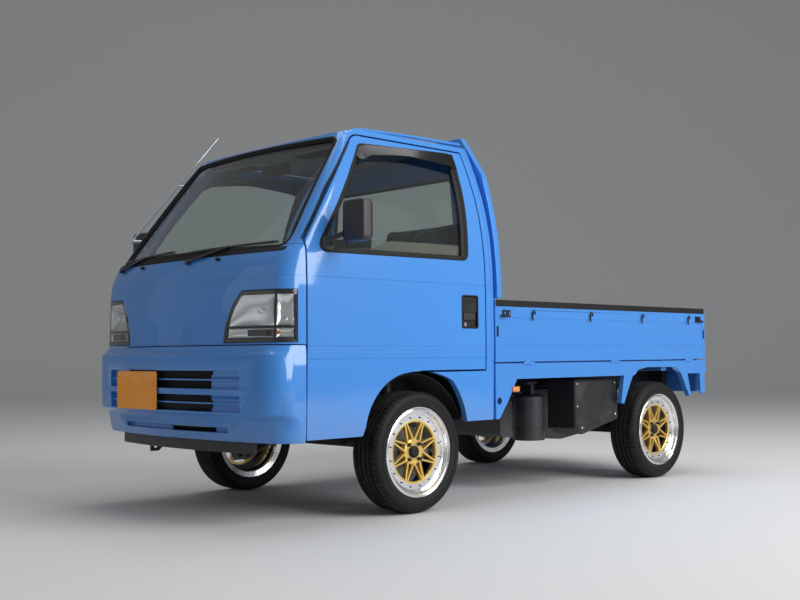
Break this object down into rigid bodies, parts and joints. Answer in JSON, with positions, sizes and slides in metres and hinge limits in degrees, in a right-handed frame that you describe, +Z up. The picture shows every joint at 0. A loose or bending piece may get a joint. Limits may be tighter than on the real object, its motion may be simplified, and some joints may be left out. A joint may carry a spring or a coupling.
{
  "type": "kei pickup truck",
  "caption": "Forward-control kei pickup truck: cab with opening doors, steering front wheels, flat load bed with drop-down side and tail gates, hoop behind the cab.",
  "frame": {"origin": "on the ground, half way along the length and on the centre plane", "axes": "+X forward, +Y to the truck's left, +Z up"},
  "size_m": [3.295, 1.76, 1.799],
  "materials": {
    "blue_paint": "gloss",
    "lamp_lens": "gloss",
    "red_lens": "gloss",
    "black_plastic": "satin",
    "orange_plate": "satin",
    "glass": "gloss",
    "floor_mat": "matte",
    "grey_plastic": "matte",
    "seat_cloth": "matte",
    "chassis_black": "satin",
    "cast_metal": "matte",
    "exhaust_steel": "satin",
    "bright_steel": "gloss",
    "gold_wheel": "gloss",
    "tyre": "matte"
  },
  "bodies": {
    "chassis": {"nose_panel": "blue_paint", "cab_back_wall": "blue_paint", "cab_roof": "blue_paint", "cab_side_left": "blue_paint", "cab_side_right": "blue_paint", "headlamps": "lamp_lens", "front_bumper": "blue_paint", "bumper_skirt": "black_plastic", "number_plate": "orange_plate", "windscreen": "glass", "wipers": "black_plastic", "aerial": "bright_steel", "rear_window": "glass", "cab_floor": "floor_mat", "dashboard": "grey_plastic", "steering_column": "black_plastic", "seats": "seat_cloth", "load_deck": "blue_paint", "rear_panel": "blue_paint", "tail_lamps": "red_lens", "headboard": "blue_paint", "hoop": "blue_paint", "ladder_frame": "chassis_black", "rear_axle": "chassis_black", "engine_block": "cast_metal", "exhaust": "exhaust_steel", "fuel_tank": "chassis_black", "battery_box": "chassis_black", "air_cleaner": "black_plastic", "front_suspension": "chassis_black", "side_sill_left": "blue_paint", "side_sill_right": "blue_paint"},
    "door_left_body": {"door_left": "blue_paint", "door_glass_left": "glass", "door_fittings_left": "black_plastic"},
    "side_gate_left_body": {"side_gate_left": "blue_paint"},
    "steer_knuckle_left": {"knuckle_left": "cast_metal"},
    "wheel_front_left": {"rim_front_left": "gold_wheel", "tyre_front_left": "tyre"},
    "wheel_rear_left": {"rim_rear_left": "gold_wheel", "tyre_rear_left": "tyre"},
    "door_right_body": {"door_right": "blue_paint", "door_glass_right": "glass", "door_fittings_right": "black_plastic"},
    "side_gate_right_body": {"side_gate_right": "blue_paint"},
    "steer_knuckle_right": {"knuckle_right": "cast_metal"},
    "wheel_front_right": {"rim_front_right": "gold_wheel", "tyre_front_right": "tyre"},
    "wheel_rear_right": {"rim_rear_right": "gold_wheel", "tyre_rear_right": "tyre"},
    "tail_gate_body": {"tail_gate": "blue_paint"},
    "steering": {"steering_wheel": "black_plastic"}
  },
  "joints": [
    {"name": "door_left_swing", "type": "hinge", "parent": "chassis", "child": "door_left_body", "pos_m": [1.405, 0.694, 0.9], "axis": [0, 0, -1], "range_deg": [0, 68]},
    {"name": "side_gate_left_drop", "type": "hinge", "parent": "chassis", "child": "side_gate_left_body", "pos_m": [-0.69, 0.6915, 0.648], "axis": [-1, 0, 0], "range_deg": [0, 170]},
    {"name": "steer_left", "type": "hinge", "parent": "chassis", "child": "steer_knuckle_left", "pos_m": [0.769, 0.575, 0.2665], "axis": [0, 0, 1], "range_deg": [-32, 32]},
    {"name": "spin_front_left", "type": "hinge", "parent": "steer_knuckle_left", "child": "wheel_front_left", "pos_m": [0.769, 0.611, 0.2665], "axis": [0, 1, 0], "continuous": true},
    {"name": "spin_rear_left", "type": "hinge", "parent": "chassis", "child": "wheel_rear_left", "pos_m": [-1.131, 0.611, 0.2665], "axis": [0, 1, 0], "continuous": true},
    {"name": "door_right_swing", "type": "hinge", "parent": "chassis", "child": "door_right_body", "pos_m": [1.405, -0.694, 0.9], "axis": [0, 0, 1], "range_deg": [0, 68]},
    {"name": "side_gate_right_drop", "type": "hinge", "parent": "chassis", "child": "side_gate_right_body", "pos_m": [-0.69, -0.6915, 0.648], "axis": [1, 0, 0], "range_deg": [0, 170]},
    {"name": "steer_right", "type": "hinge", "parent": "chassis", "child": "steer_knuckle_right", "pos_m": [0.769, -0.575, 0.2665], "axis": [0, 0, 1], "range_deg": [-32, 32]},
    {"name": "spin_front_right", "type": "hinge", "parent": "steer_knuckle_right", "child": "wheel_front_right", "pos_m": [0.769, -0.611, 0.2665], "axis": [0, 1, 0], "continuous": true},
    {"name": "spin_rear_right", "type": "hinge", "parent": "chassis", "child": "wheel_rear_right", "pos_m": [-1.131, -0.611, 0.2665], "axis": [0, 1, 0], "continuous": true},
    {"name": "tail_gate_drop", "type": "hinge", "parent": "chassis", "child": "tail_gate_body", "pos_m": [-1.642, 0, 0.648], "axis": [0, -1, 0], "range_deg": [0, 170]},
    {"name": "steering_turn", "type": "hinge", "parent": "chassis", "child": "steering", "pos_m": [1.11, -0.33, 1.062], "axis": [-0.4472, 0, 0.8944], "range_deg": [-512, 512]}
  ],
  "couplings": [
    {"joint": "steer_right", "follows": "steer_left", "ratio": 1},
    {"joint": "steering_turn", "follows": "steer_left", "ratio": 16}
  ]
}
